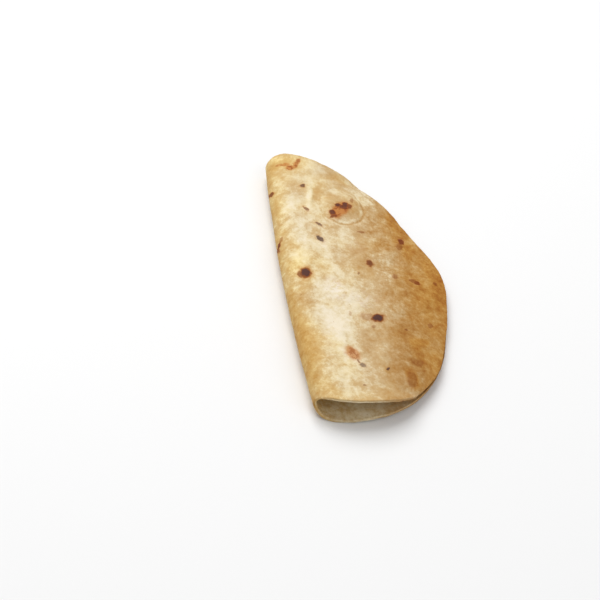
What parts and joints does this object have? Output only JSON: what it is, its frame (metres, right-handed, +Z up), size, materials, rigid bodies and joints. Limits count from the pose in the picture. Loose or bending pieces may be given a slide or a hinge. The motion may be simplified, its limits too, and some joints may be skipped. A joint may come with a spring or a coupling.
{
  "type": "chapati flatbread",
  "caption": "Thin round wheat flatbread folded once into a soft half-moon, with a rounded open fold and its upper layer resting on the lower one.",
  "frame": {"origin": "middle of the underside of the bounding box, on the surface that the bread lies on", "axes": "+Y along the fold, +X from the fold towards the rim of the half-moon, +Z up, square to the layers"},
  "size_m": [0.088, 0.1848, 0.0169],
  "materials": {
    "baked_dough": "matt, dry and slightly floury, straw-coloured with darker toasted spots"
  },
  "bodies": {
    "root": {"chapati": "baked_dough"}
  },
  "joints": []
}
